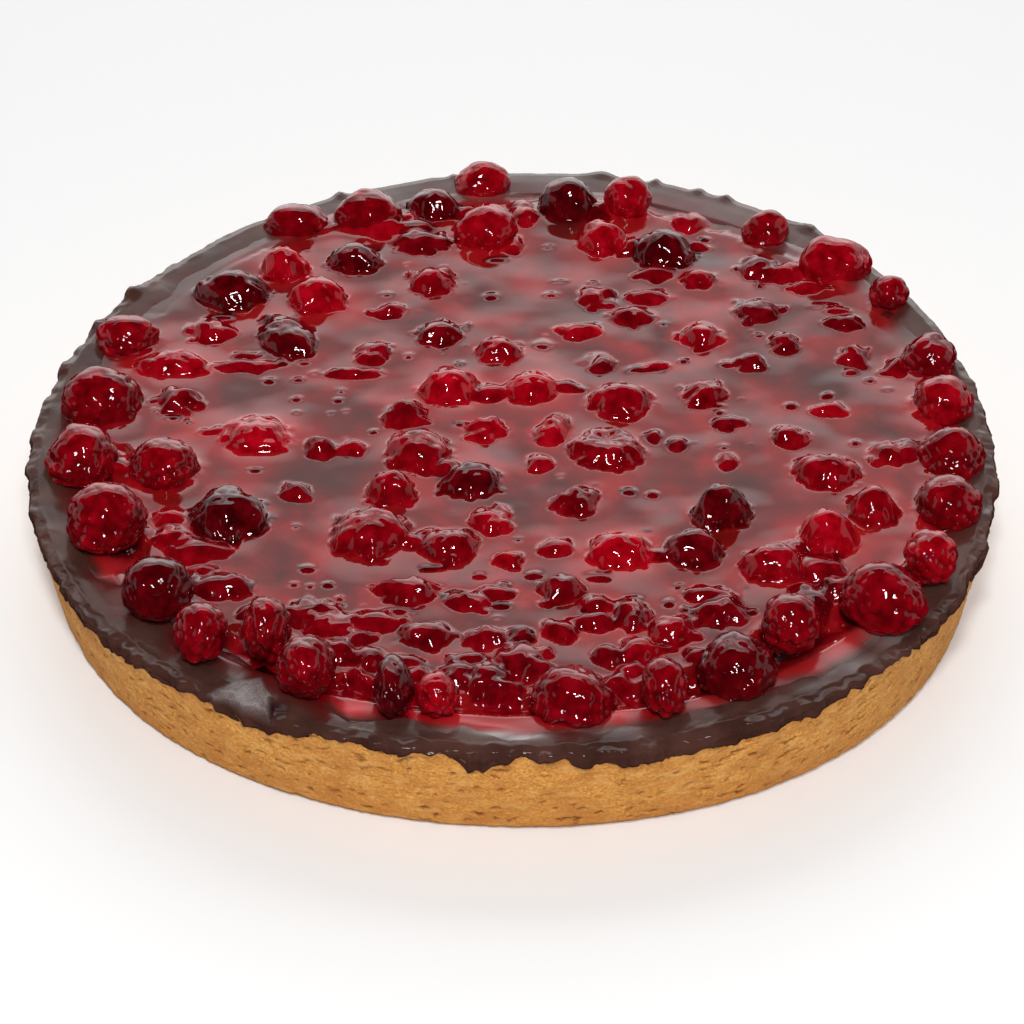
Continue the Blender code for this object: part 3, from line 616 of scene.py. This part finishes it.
def jelly_surface(berries):
    """Points of the jelly's top on a square grid, with their heights and looks."""
    reach = max(radius for _, radius in SHORE) + 2
    side = np.arange(-reach, reach + JELLY_STEP, JELLY_STEP)
    x, y = (grid.ravel() for grid in np.meshgrid(side, side, indexing="ij"))
    angle, radius = np.arctan2(y, x), np.hypot(x, y)
    brink, edge, shore = jelly_edges(x, y)
    inside = radius < edge
    pull = np.where(inside, 1, edge / np.maximum(radius, 1))
    x, y = x * pull, y * pull
    radius = np.hypot(x, y)

    # Glaze drawn up at the standing berries, between close ones, and swelling toward all
    plane = np.stack((x, y, 0 * x), 1)
    top = JELLY_LEVEL + uneven(plane, LEVEL_NOISE)
    ragged = np.clip(1 + uneven(plane, LUMP_NOISE), 0.3, 1.9)
    near, closest, second = np.zeros((3, len(x)))
    meniscus, swell = np.ones((2, len(x)))
    tone = np.full_like(x, 0.5)
    for berry in berries:
        gap = np.maximum((berry.ring(x, y) - berry.waist) * min(berry.width, berry.length), 0)
        if not berry.low:
            meniscus *= 1 - np.exp(-gap / MENISCUS_REACH) * unit(ragged - 0.2)
            touch = np.exp(-gap / WEB_REACH)
            second = np.maximum(second, np.minimum(touch, closest))
            closest = np.maximum(closest, touch)
        swell *= 1 - np.exp(-gap / SWELL_REACH)
        close = np.exp(-gap / (8.0 if berry.y > FAR_Y else 6)) * min(berry.tone + 0.15, 1)
        near = np.maximum(near, close)
        tone = np.where(gap < 2.5, berry.tone, tone)
    web = np.sqrt(closest * second)
    top += MENISCUS_RISE * (1 - meniscus) + SWELL_RISE * (1 - swell) + WEB_RISE * web
    lump = np.maximum(1 - meniscus, unit(2.5 * web))

    # Glaze over the low and the sunken berries
    for berry in (berry for berry in berries if berry.low):
        spot = np.flatnonzero(berry.ring(x, y) < 1.8)
        cap = JELLY_LEVEL + berry.dome(x[spot], y[spot]) - GLAZE_UNDER
        lump[spot] = np.maximum(lump[spot], unit((cap - top[spot]) / GLAZE_FILLET + 0.9))
        top[spot] = smooth_max(top[spot], cap, GLAZE_FILLET)
    for bx, by, width, length, rise, fall, own_tone in lump_list(berries, random.Random(LUMP_SEED)):
        ring = (((x - bx) / width) ** 2 + ((y - by) / length) ** 2) * ragged
        cap = JELLY_LEVEL + rise - fall * ring
        blend = min(0.6, 0.3 * rise + 0.15)
        share = unit((cap - top) / blend + 0.9)
        tone = np.where(share > lump, own_tone, tone)
        lump = np.maximum(lump, share)
        top = smooth_max(top, cap, blend)
        gap = np.maximum(np.sqrt(ring) - 1, 0) * min(width, length)
        near = np.maximum(near, np.exp(-gap / 3) * own_tone)

    # The brink in front, the film that runs out over the chocolate, and the pools
    back = toward(angle, 2, 0.4)
    share = unit((edge - radius) / (SHORE_WIDTH + 4 * back))
    thick = 0.8 + 0.5 * unit((shore - 119) / 4)
    film = coat_height(radius / out_of_round(angle), angle) - FILM_UNDER + thick * np.sqrt(share)
    brim = np.clip((brink - radius) / BRINK_WIDTH + 8 * toward(angle, 1, 0.1), 0, 1.3)
    limit = film - 0.3 + 2.6 * brim ** 0.7 + 9 * brim ** 3
    top = np.where(brim < 1.3, -smooth_max(-top, -limit, 0.5), top)
    top = smooth_max(top, film, 0.9)
    top += np.minimum(film - top, 0) * back * unit(1 - 1.5 * share)
    lump *= unit((brink - radius + 8) / 4)
    near = np.maximum(near, 0.7 * unit((radius - 106) / 8) * toward(angle, -1, -0.6))
    pool = np.zeros_like(x)
    for *place, strength in POOLS:
        lens = strength * soft_spot(x, y, place)
        pool = np.maximum(pool, lens)
        top += 0.5 * lens
    pool *= unit(3 * share)
    shade = unit(sum(soft_spot(x, y, (*place, size, size)) for *place, size in SHADES))
    looks = {
        "near": near, "lump": lump, "tone": tone, "film": unit(1.2 - share), "pool": pool,
        "shade": shade * (1 - pool), "painted_sheen": painted_sheen_at(x, y),
    }
    return x, y, top, inside, len(side), looks

def make_jelly(berries):
    """The jelly as one closed body."""
    x, y, top, inside, count, looks = jelly_surface(berries)
    index = np.arange(count * count).reshape(count, count)
    corners = (index[:-1, :-1], index[1:, :-1], index[1:, 1:], index[:-1, 1:])
    quads = np.stack([corner.ravel() for corner in corners], 1)
    kept = quads[inside[quads].any(1)]
    used, faces = np.unique(kept, return_inverse=True)
    faces = faces.reshape(-1, 4)
    points = np.stack((x, y, top), 1)[used]
    looks = {label: values[used] for label, values in looks.items()}
    jelly = mesh_object("jelly_filling", points, faces.tolist(), jelly_material(), looks)
    build = bmesh.new()
    build.from_mesh(jelly.data)
    rim = [edge for edge in build.edges if edge.is_boundary]
    walls = bmesh.ops.extrude_edge_only(build, edges=rim)["geom"]
    for vert in (item for item in walls if isinstance(item, bmesh.types.BMVert)):
        vert.co.z = JELLY_FOOT * MM
        vert.co.xy = vert.co.xy * (0.96 * BED_RADIUS * MM / vert.co.xy.length)
    foot = [edge for edge in build.edges if edge.is_boundary]
    bmesh.ops.triangle_fill(build, edges=foot, use_beauty=False)
    bmesh.ops.recalc_face_normals(build, faces=build.faces)
    build.to_mesh(jelly.data)
    build.free()
    jelly.data.shade_smooth()
    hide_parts("jelly")
    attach(jelly, "root")

def drupelet_centres(count, draw):
    """Unit vectors spread evenly over a ball, a little unevenly."""
    centres = []
    for step in range(count):
        z = 1 - 2 * (step + 0.5) / count
        angle = step * math.pi * (3 - math.sqrt(5)) + draw.uniform(-0.12, 0.12)
        wide = math.sqrt(1 - z * z)
        centres.append((wide * math.cos(angle), wide * math.sin(angle), z + draw.uniform(-0.03, 0.03)))
    centres = np.array(centres)
    return centres / np.linalg.norm(centres, axis=1, keepdims=True)

def ball_points(berry, ball, draw):
    """A standing raspberry's points from a unit ball, with their looks: painted shade in the crevices, and each
    drupelet's tone.
    """
    size = (berry.width + berry.length) / 2
    count = round(4 * math.pi * size ** 2 / (0.87 * DRUPELET ** 2))
    azimuth, elevation = POINTS.get(berry.number, (draw.uniform(0, 360), draw.uniform(-10, 40)))
    pole = np.array(
        Matrix.Rotation(math.radians(azimuth), 3, "Z") @ Matrix.Rotation(math.radians(90 - elevation), 3, "Y")
    )
    centres = drupelet_centres(count, draw) @ pole.T
    tones = np.array([draw.random() for _ in range(count)])
    heights = 1 - 0.30 * np.array([draw.random() for _ in range(count)])
    angles = np.arccos(np.clip(ball @ centres.T, -1, 1)) / (1.28 * math.sqrt(4 / count))
    bead = tones[np.argmin(angles, axis=1)]
    best = np.sort(np.sqrt(unit(1 - angles ** 2)) * heights, axis=1)
    crown = smooth_max(smooth_max(best[:, -1], best[:, -2], 0.08), 0.35, 0.12)
    glazed = unit((ball[:, 2] - 0.5) / 0.4 + 0.3 * ripple(ball + berry.number * 3.1, 0.5))
    swell = 1 - CREVICE / size * (1 - crown) * (1 - 0.80 * glazed) * berry.calm
    large = 0.10 + 0.12 * (1 - berry.calm)
    swell *= 1 + uneven(ball, ((large, 0.9, berry.number * 7.3), (0.035, 0.4, berry.number * 7.3)))
    swell *= 1 - 0.06 * unit(ball @ pole[:, 2]) ** 2
    shape = ball * swell[:, None]
    fuller = np.where(ball[:, 2] < 0, 1 + 0.22 * ball[:, 2] ** 2, 1)
    shape[:, :2] *= fuller[:, None]
    shape[:, 0] *= berry.width / np.abs(shape[:, 0]).max()
    shape[:, 1] *= berry.length / np.abs(shape[:, 1]).max()
    upper = (berry.top - berry.middle) / shape[:, 2].max()
    shape[:, 2] *= np.where(ball[:, 2] > 0, upper, berry.middle - berry.foot)
    shown = (1 - 0.4 * glazed) * berry.calm
    # Crevices darkened as painted shade, less on the glazed top and on far berries
    looks = {"shaded_hollow": unit((0.8 - crown) / 0.4) * shown, "bead": bead * shown}
    return shape + np.array((berry.x, berry.y, berry.middle)), looks

def dome_points(berry, ball):
    """A low raspberry's points: the glazed dome above, a rounded foot below."""
    wide, long = ball[:, 0] * berry.width * 1.06, ball[:, 1] * berry.length * 1.06
    c, s = math.cos(berry.turn), math.sin(berry.turn)
    x, y = berry.x + wide * c - long * s, berry.y + wide * s + long * c
    waist = JELLY_LEVEL - 1.5
    above = np.maximum(JELLY_LEVEL + berry.dome(x, y), waist)
    below = waist + ball[:, 2] * (waist - berry.foot)
    plain = np.zeros(len(ball))
    return np.stack((x, y, np.where(ball[:, 2] > 0, above, below)), 1), {"shaded_hollow": plain, "bead": plain}

def unit_ball(around, down):
    """Points and triangles of a round ball."""
    build = bmesh.new()
    bmesh.ops.create_uvsphere(build, u_segments=around, v_segments=down, radius=1)
    bmesh.ops.triangulate(build, faces=build.faces)
    points = np.array([vert.co[:] for vert in build.verts])
    faces = np.array([[vert.index for vert in face.verts] for face in build.faces])
    build.free()
    return points, faces

def make_berries(berries):
    """All raspberries, joined by kind and place, each with its own drupelets, shape and tone."""
    material = berry_material()
    draw = random.Random(BERRY_SEED)
    fine, coarse = unit_ball(*FINE_BALL), unit_ball(*COARSE_BALL)
    made = {}
    for berry in berries:
        made[berry] = dome_points(berry, coarse[0]) if berry.low else ball_points(berry, fine[0], draw)
    red = [berry for berry in berries if berry.number not in DARK]
    standing = [berry for berry in red if not berry.low]
    groups = (
        ("raspberries_far", "raspberry_red", [b for b in standing if b.y > 50]),
        ("raspberries_middle", "raspberry_red", [b for b in standing if -50 < b.y <= 50]),
        ("raspberries_front", "raspberry_red", [b for b in standing if b.y <= -50]),
        ("raspberries_low", "raspberry_red", [b for b in red if b.low]),
        ("raspberries_dark", "raspberry_dark", [b for b in berries if b.number in DARK]),
    )
    for name, slot, members in groups:
        counts = [len(made[berry][0]) for berry in members]
        starts = np.cumsum([0] + counts[:-1])
        balls = [coarse[1] if berry.low else fine[1] for berry in members]
        faces = np.concatenate([ball + first for ball, first in zip(balls, starts)])
        points = np.concatenate([made[berry][0] for berry in members])
        looks = {
            label: np.concatenate([made[berry][1][label] for berry in members]) for label in ("shaded_hollow", "bead")
        }
        looks["tone"] = np.repeat([berry.tone for berry in members], counts)
        piece = mesh_object(name, points, faces.tolist(), material, looks)
        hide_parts(*[f"berry_{berry.number:02d}" for berry in members])
        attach(piece, "root")

def loft(rings, first, last):
    """Points and faces that join rings of equal length, closed by a point at each end."""
    around = len(rings[0])
    points = np.concatenate([*rings, [first], [last]])
    step = np.arange(around)
    after = (step + 1) % around
    faces = []
    for ring in range(len(rings) - 1):
        base = ring * around
        quads = np.stack((base + step, base + around + step, base + around + after, base + after), 1)
        faces += quads.tolist()
    start, end = len(points) - 2, len(points) - 1
    base = (len(rings) - 1) * around
    faces += np.stack((step * 0 + start, step, after), 1).tolist()
    faces += np.stack((step * 0 + end, base + after, base + step), 1).tolist()
    return points, faces

def chocolate_edge(angles):
    """Lower edge of the chocolate at each angle, from its solid and the heights in front."""
    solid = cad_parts["chocolate"]
    spots = np.array([vert.co for vert in solid.data.vertices]) / MM - np.array(SHIFT)
    turn = np.arctan2(spots[:, 1], spots[:, 0])
    reach = np.hypot(spots[:, 0], spots[:, 1]) / out_of_round(turn)
    outer = reach > RIM_RADIUS - 0.8
    centres = np.radians(np.arange(0, 360, 5))
    lowest = []
    for centre in centres:
        off = np.abs((turn - centre + np.pi) % math.tau - np.pi)
        lowest.append(spots[outer & (off < math.radians(1.5)), 2].min())
    edge = np.interp(angles % math.tau, np.append(centres, math.tau), lowest + lowest[:1])
    ring = on_ring(angles, RIM_RADIUS, 0)
    plain = edge + uneven(ring, EDGE_NOISE)
    turned = np.degrees(angles) % 360
    measured = EDGE_START + EDGE_STEP * np.arange(len(EDGE))
    share = unit(np.minimum(turned - measured[0], measured[-1] - turned) / 3)
    front = np.interp(turned, measured, EDGE)
    return plain + (front - plain) * share + uneven(ring, EDGE_FINE_NOISE)

def fold_height(spots, base):
    """How far the fold, a tilted sheet, stands over the coat's height at each spot, and its share there."""
    inside = np.full(len(spots), np.inf)
    for (ax, ay), (bx, by) in zip(FOLD, FOLD[1:] + FOLD[:1]):
        edge = math.hypot(bx - ax, by - ay)
        inside = np.minimum(inside, ((bx - ax) * (spots[:, 1] - ay) - (by - ay) * (spots[:, 0] - ax)) / edge)
    level, rise_x, rise_y = FOLD_RISE
    sheet = level + rise_x * (spots[:, 0] - FOLD[0][0]) + rise_y * (spots[:, 1] - FOLD[0][1])
    share = unit(inside + 0.5)
    return share * np.clip(sheet - base, 0, None), share

def rim_bulge(angles):
    """How far the lumps on the chocolate's outline stand out at each angle."""
    draw = random.Random(RIM_SEED)
    small = [
        (azimuth + draw.uniform(-1, 1), draw.uniform(0.9, 1.8), draw.uniform(0.6, 1.2))
        for azimuth in range(210, 328, 3)
    ]
    bulge = 0 * angles
    for azimuth, width, height in (*RIM_LUMPS, *small):
        off = ((np.degrees(angles) - azimuth + 180) % 360 - 180) * math.radians(RIM_RADIUS)
        bulge = np.maximum(bulge, height * np.exp(-(off / width) ** 2))
    return bulge

def coat_knots(angles, edge):
    """The coat's section from the bed over the rim to the underside of its lip, as radii and heights."""
    flat = 1 + 0 * angles
    crest = coat_height(CREST_RADIUS, angles)
    wall = RIM_RADIUS - WALL_TAPER * (1 - edge / RIM_HEIGHT)
    return (
        (BED_RADIUS * flat, BED_HEIGHT * flat),
        (BANK_RADIUS * flat, BANK_HEIGHT * flat),
        (SHOULDER_RADIUS * flat, SHOULDER_HEIGHT * flat),
        (CREST_RADIUS * flat, crest),
        ((RIM_RADIUS + 0.4) * flat, crest - 0.8),
        ((RIM_RADIUS + LIP_THICKNESS) * flat, np.maximum(RIM_HEIGHT + COAT_THICKNESS - 2.2, edge + 0.6)),
        (wall + LIP_THICKNESS, edge + 0.2),
        (wall + 0.4 * LIP_THICKNESS, edge - 0.1),
        (wall - 0.2, edge + 0.1),
    )

def make_chocolate():
    """The coat over bed, bank, rim and lip."""
    angles = even_angles(COAT_AROUND)
    edge = chocolate_edge(angles)
    flat = 1 + 0 * angles
    calm = 1 - 0.75 * toward(angles, 2, 0, 1.2)
    left = unit(-2 * np.cos(angles) - 0.4) * toward(angles, 2, -1.2)
    bulge = rim_bulge(angles)
    lip_limit = np.where(np.sin(angles) < -0.8, 0.5, 0.3)
    knots = coat_knots(angles, edge)
    rings = []
    looks = {label: [] for label in ("film", "edge_line_and_hollow_shade", "lip", "painted_fold_highlight", "painted_sheen")}
    for index, (start, after, span) in enumerate(zip(knots, knots[1:], COAT_SPANS)):
        for part in range(span):
            share = part / span
            r = start[0] + (after[0] - start[0]) * share
            z = start[1] + (after[1] - start[1]) * share
            z = np.where(r < CREST_RADIUS, coat_height(r, angles), z)
            spots = on_ring(angles, r, z)
            x, y, _ = spots.T
            upper = unit((r - BED_RADIUS) / 12) * unit((z - edge) / 3)
            outer = unit((r - CREST_RADIUS + 2) / 3)
            lumpy = np.minimum(calm * uneven(spots, LIP_NOISE) + bulge - 0.7, lip_limit) * outer
            droop = calm * uneven(spots, DROOP_NOISE) * outer
            crest = 0.45 * np.exp(-((r - CREST_RADIUS) / 3) ** 2)
            crest -= 0.35 * np.exp(-((r - SHOULDER_RADIUS) / 3) ** 2)
            crest *= calm * (1 - 0.7 * toward(angles, 1, -0.7))
            wave = 0.8 * ripple(spots, 16) + 0.38 * calm * ripple(spots + 50, 6)
            wave += 0.5 * calm * left * ripple(spots + 20, 10)
            knobs = 1.3 * bulge * outer * toward(angles, 2.5, 0)
            height = z + (0.8 * wave - crest + droop + knobs) * upper
            raised, folded = fold_height(spots, height)
            above = 1 if index < 4 else 1 - share if index == 4 else 0
            folded = folded * above
            shaded_hollow = soft_spot(x, y, FOLD_HOLLOW)
            rings.append((r + lumpy - 0.2, height + raised * above - 0.6 * shaded_hollow))
            low = unit(1 - (z - edge) / 0.8) * (r > RIM_RADIUS - 6)
            looks["film"].append(unit((SHOULDER_RADIUS + 1 - r) / 6 + 1.2 * ripple(spots, 13)))
            # Dark line along the lower edge, and painted shade in the hollow beside the fold where the fold
            # doesn't cover it
            looks["edge_line_and_hollow_shade"].append(np.maximum(low, shaded_hollow * (1 - folded)))
            looks["lip"].append(unit((r - CREST_RADIUS - 0.4) / 1.2))
            # Painted highlight on the fold's faces, grainy
            looks["painted_fold_highlight"].append(folded * unit(1.1 + 0.9 * ripple(spots, 3.5)))
            # Painted sheen on the coat inside its crest: a pale reflection painted into the colour
            looks["painted_sheen"].append(painted_sheen_at(x, y) * (r < CREST_RADIUS))
    rings += [
        knots[-1],
        ((RIM_RADIUS - 2) * flat, (RIM_HEIGHT + 0.2) * flat),
        ((BED_RADIUS + 12) * flat, (BED_HEIGHT - 4) * flat),
    ]
    hidden = {"edge_line_and_hollow_shade": (1, 0, 0), "lip": (1, 1, 1)}
    for label, values in looks.items():
        values += [share * flat for share in hidden.get(label, (0, 0, 0))]
    round_out = out_of_round(angles)
    shaped = [on_ring(angles, r * round_out, z) for r, z in rings]
    points, faces = loft(shaped, (0, 0, BED_HEIGHT), (0, 0, BED_HEIGHT - 4))
    looks = {label: np.append(np.concatenate(values), (0, 0)) for label, values in looks.items()}
    coat = mesh_object("chocolate_coat", points, faces, chocolate_material(), looks)
    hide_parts("chocolate")
    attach(coat, "root")

def crust_pits(angles, heights):
    """How deep in a short crack or pit each point of the wall is, from 0 to 1; rows are heights."""
    draw = random.Random(PIT_SEED)
    depth = np.zeros((len(heights), len(angles)))
    for _ in range(PIT_COUNT):
        azimuth, height = draw.uniform(0, math.tau), RIM_HEIGHT * draw.uniform(0.02, 0.95)
        width, tall = draw.uniform(0.45, 1) ** 2 * 2.2, draw.uniform(0.28, 0.75)
        tilt, deep, bend = draw.uniform(-0.3, 0.45), draw.uniform(0.35, 1), draw.uniform(-0.35, 0.35)
        along = ((angles - azimuth + math.pi) % math.tau - math.pi) * RIM_RADIUS
        columns = np.flatnonzero(np.abs(along) < 2 * width)
        along = along[columns]
        off = heights[:, None] - height - tilt * along - bend * np.cos(1.8 * along) - 0.15 * np.sin(4 * along)
        shaded_pit = deep * unit(1.2 - (along / width) ** 2 - (off / tall) ** 2)
        depth[:, columns] = np.maximum(depth[:, columns], shaded_pit)
    return depth

def make_crust():
    """Outer wall with pits and cracks, a rounded foot and a flat base."""
    angles = even_angles(CRUST_AROUND)
    round_out = out_of_round(angles)
    heights = RIM_HEIGHT * (1 - np.arange(CRUST_ROWS + 1) / CRUST_ROWS)
    pits = crust_pits(angles, heights)
    edge = chocolate_edge(angles)
    rings = []
    for height, shaded_pit in zip(heights, pits):
        spots = on_ring(angles, RIM_RADIUS, height)
        rough = uneven(spots, CRUST_NOISE) + 0.20 * ripple(spots * np.array((1, 1, 2)), 3)
        foot = 1.6 * unit(1 - height / 1.8) ** 2
        covered = 1.3 * unit(height - edge - 0.6)
        wall = RIM_RADIUS - WALL_TAPER * (1 - height / RIM_HEIGHT) - 0.25
        rings.append(on_ring(angles, (wall + rough - PIT_DEPTH * shaded_pit - foot - covered) * round_out, height))
    lid = on_ring(angles, (RIM_RADIUS - 6) * round_out, RIM_HEIGHT)
    floor = on_ring(angles, RIM_RADIUS - 22, BED_HEIGHT - 7)
    points, faces = loft([floor, lid, *rings], (0, 0, BED_HEIGHT - 8), (0, 0, 0))
    unseen, ends = np.zeros(2 * len(angles)), (0, 0)
    darker_toward_foot = np.repeat(unit(1 - heights / 14), len(angles))
    looks = {
        "shaded_pit": np.concatenate((unseen, pits.ravel(), ends)), "foot": np.concatenate((unseen, darker_toward_foot, ends)),
    }
    shell = mesh_object("pastry_shell", points, faces, crust_material(), looks)
    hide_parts("crust")
    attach(shell, "root")

# Studio

def area_light(name, centre, aim, width, height, radiance, diffuse=True):
    """Rectangular light facing a point; radiance sets its brightness whatever its size."""
    light = bpy.data.lights.new(name, "AREA")
    light.shape = "RECTANGLE"
    light.size, light.size_y = width, height
    light.energy = radiance * math.pi * width * height
    obj = bpy.data.objects.new(name, light)
    obj.location = centre
    obj.rotation_euler = (Vector(aim) - Vector(centre)).to_track_quat("-Z", "Y").to_euler()
    obj.visible_camera = False
    obj.visible_diffuse = diffuse
    bpy.context.scene.collection.objects.link(obj)
    return light

def polar(distance, azimuth, elevation):
    """Point at a distance from the tart, azimuth from +X and elevation in degrees."""
    a, e = math.radians(azimuth), math.radians(elevation)
    return Vector((math.cos(a) * math.cos(e), math.sin(a) * math.cos(e), math.sin(e))) * distance

def make_floor():
    """Pale floor under the tart."""
    floor = bpy.data.materials.new("studio_floor")
    floor.use_nodes = True
    surface = floor.node_tree.nodes["Principled BSDF"]
    surface.inputs["Base Color"].default_value = (0.93, 0.93, 0.93, 1)
    surface.inputs["Roughness"].default_value = 0.9
    bpy.ops.mesh.primitive_plane_add(size=12, location=(0, 0, -0.0002))
    ground = bpy.context.active_object
    ground.name = "studio_floor"
    ground.data.materials.append(floor)
    ground.visible_glossy = False

def make_studio():
    """A wide softbox behind, two small lamps in front, cards at the sides and a dim room."""
    softbox = area_light("softbox", (0, 1.5, 1.065), (0, 0.5, 1.065), 4, 2.13, 8)
    softbox.use_nodes = True
    tree = softbox.node_tree
    place = tree.nodes.new("ShaderNodeNewGeometry")
    split = tree.nodes.new("ShaderNodeSeparateXYZ")
    tree.links.new(place.outputs["Parametric"], split.inputs["Vector"])
    upward = (
        (0, 0.12), (0.125, 0.32), (0.2225, 0.38), (0.341, 0.29), (0.442, 0.275), (0.544, 0.155), (0.645, 0.18),
        (0.789, 0.36), (1, 0.46),
    )
    across = ((0, 0.3), (0.22, 0.4), (0.37, 1), (0.63, 1), (0.78, 0.4), (1, 0.3))
    product = tree.nodes.new("ShaderNodeMath")
    product.operation = "MULTIPLY"
    for side, (axis, stops) in enumerate((("Y", upward), ("X", across))):
        falloff = tree.nodes.new("ShaderNodeValToRGB")
        set_stops(falloff, [(position, (share, share, share)) for position, share in stops])
        tree.links.new(split.outputs[axis], falloff.inputs["Fac"])
        tree.links.new(falloff.outputs["Color"], product.inputs[side])
    tree.links.new(product.outputs["Value"], tree.nodes["Emission"].inputs["Strength"])
    area_light("key_upper", polar(1.3, 266, 58), (0, 0, 0), 0.17, 0.12, 92)
    area_light("key_lower", polar(1.3, 276, 46), (0, 0, 0), 0.17, 0.12, 85)
    area_light("card_behind", (0, 0.85, 0.001), (0, 0.85, 1), 2.6, 1.3, 1.2, diffuse=False)
    for name, side in (("panel_left", -1.2), ("panel_right", 1.2)):
        area_light(name, (side, 0.1, 0.3), (0, 0.1, 0.1), 1.5, 0.6, 0.6, diffuse=False)

    world = bpy.data.worlds.new("studio_room")
    world.use_nodes = True
    background = world.node_tree.nodes["Background"]
    background.inputs["Color"].default_value = (1, 1, 1, 1)
    background.inputs["Strength"].default_value = 0.25
    world.cycles_visibility.glossy = False
    bpy.context.scene.world = world

def make_camera():
    """Camera at the photograph's angle, looking at the middle of the tart's base."""
    data = bpy.data.cameras.new("camera")
    data.sensor_width = 36
    data.lens = CAMERA_FOCAL / PICTURE * data.sensor_width
    data.shift_x = (PICTURE / 2 - CAMERA_CENTRE[0]) / PICTURE
    data.shift_y = (CAMERA_CENTRE[1] - PICTURE / 2) / PICTURE
    camera = bpy.data.objects.new("camera", data)
    bpy.context.scene.collection.objects.link(camera)
    aim = SHIFT * MM
    spot = aim + polar(CAMERA_DISTANCE * MM, 270, CAMERA_ELEVATION)
    look = (aim - spot).to_track_quat("-Z", "Y").to_matrix().to_4x4()
    camera.matrix_world = Matrix.Translation(spot) @ look @ Matrix.Rotation(math.radians(CAMERA_ROLL), 4, "Z")
    bpy.context.scene.camera = camera

tones = random.Random(TONE_SEED)
raspberries = [Berry(number, tones) for number in range(1, BERRY_COUNT + 1)]
make_crust()
make_chocolate()
make_jelly(raspberries)
make_berries(raspberries)
make_floor()
make_studio()
make_camera()
bpy.context.scene.view_settings.view_transform = "Standard"
